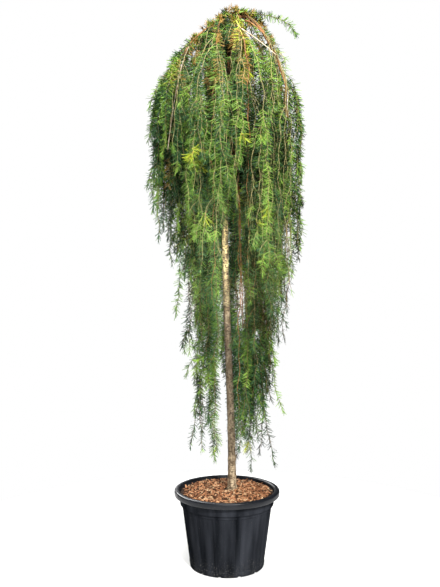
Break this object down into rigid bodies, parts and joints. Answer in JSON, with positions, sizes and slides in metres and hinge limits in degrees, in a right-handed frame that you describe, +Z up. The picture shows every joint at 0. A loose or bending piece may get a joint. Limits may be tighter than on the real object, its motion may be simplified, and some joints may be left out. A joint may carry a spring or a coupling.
{
  "type": "potted weeping larch tree",
  "caption": "Young weeping larch with a slim swaying trunk, arching boughs and long hanging strands of needles, in a round black nursery pot filled with bark mulch",
  "frame": {"origin": "middle of the pot's flat underside, on the floor", "axes": "+Z up along the tree; +X to the viewer's right and +Y away from the viewer in the view that the tree was taken from"},
  "size_m": [0.7023, 0.707, 2.514],
  "materials": {
    "black_plastic": "satin moulded",
    "bark_mulch": "rough chips",
    "trunk_bark": "rough bark",
    "bough_bark": "rough bark",
    "needles": "waxy needles",
    "young_needles": "waxy needles"
  },
  "bodies": {
    "root": {"bark_mulch": "bark_mulch", "inner_bough_01": "bough_bark", "inner_bough_02": "bough_bark", "inner_bough_03": "bough_bark", "inner_bough_04": "bough_bark", "inner_bough_05": "bough_bark", "inner_curtain_01": "needles", "inner_curtain_02": "needles", "inner_curtain_03": "needles", "inner_curtain_04": "needles", "inner_curtain_05": "needles", "leader_tuft": "young_needles", "pot": "black_plastic", "trunk": "trunk_bark", "upper_bough_01": "bough_bark", "upper_bough_02": "bough_bark", "upper_bough_03": "bough_bark", "upper_bough_04": "bough_bark", "upper_bough_05": "bough_bark", "upper_bough_06": "bough_bark", "upper_bough_07": "bough_bark", "upper_bough_08": "bough_bark", "upper_bough_09": "bough_bark", "upper_bough_10": "bough_bark", "upper_curtain_01": "needles", "upper_curtain_02": "needles", "upper_curtain_03": "needles", "upper_curtain_04": "needles", "upper_curtain_05": "needles", "upper_curtain_06": "needles", "upper_curtain_07": "needles", "upper_curtain_08": "needles", "upper_curtain_09": "needles", "upper_curtain_10": "needles"}
  },
  "joints": []
}
